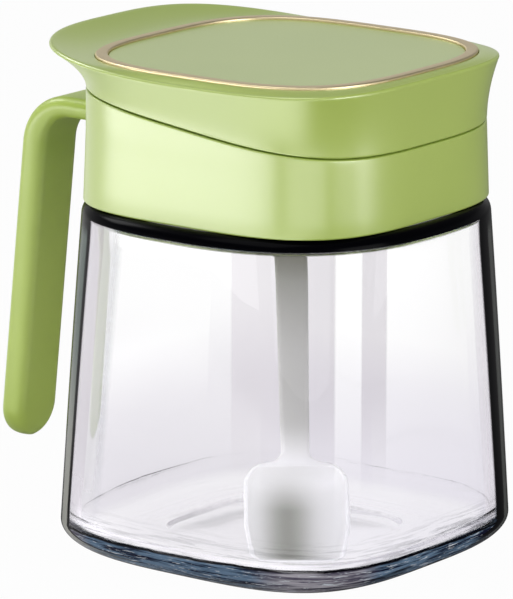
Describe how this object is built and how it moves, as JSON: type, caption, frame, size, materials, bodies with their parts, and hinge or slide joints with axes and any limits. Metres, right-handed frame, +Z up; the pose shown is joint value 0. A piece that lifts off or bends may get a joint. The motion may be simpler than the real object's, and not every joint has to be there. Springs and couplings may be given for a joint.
{
  "type": "spice jar",
  "caption": "Square clear glass spice jar with a green flip lid, thumb tab, gold trim ring, strap handle and a loose measuring spoon inside.",
  "frame": {"origin": "centre of the flat base that the jar stands on", "axes": "+Z up; the handle, the hinge and the thumb tab are on the -X side; the lid's low front is on the +X side"},
  "size_m": [0.1269, 0.092, 0.1204],
  "materials": {
    "clear_glass": "clear and polished, with a faint lavender tint in the thick base",
    "green_plastic": "soft satin, light yellow-green",
    "gold_trim": "satin pale gold",
    "white_plastic": "satin white",
    "clear_silicone": "soft translucent white",
    "screw_steel": "bright stainless",
    "spoon_plastic": "translucent frosted white"
  },
  "bodies": {
    "jar": {"glass_jar": "clear_glass"},
    "cap": {"collar": "green_plastic", "collar_insert": "white_plastic", "neck_gasket": "clear_silicone", "handle": "green_plastic", "handle_screw_left": "screw_steel", "handle_screw_right": "screw_steel", "hinge_pin": "screw_steel"},
    "lid": {"lid_shell": "green_plastic", "trim_ring": "gold_trim", "lid_liner": "white_plastic", "lid_seal": "clear_silicone"},
    "spoon": {"spoon": "spoon_plastic"}
  },
  "joints": [
    {"name": "cap_lift", "type": "slide", "parent": "jar", "child": "cap", "axis": [0, 0, 1], "range_m": [0, 0.03]},
    {"name": "lid_hinge", "type": "hinge", "parent": "cap", "child": "lid", "pos_m": [-0.0445, 0, 0.11], "axis": [0, -1, 0], "range_deg": [0, 75]},
    {"name": "spoon_swing", "type": "hinge", "parent": "jar", "child": "spoon", "pos_m": [0, 0, 0], "axis": [0, 0, 1], "range_deg": [-6, 10]}
  ]
}
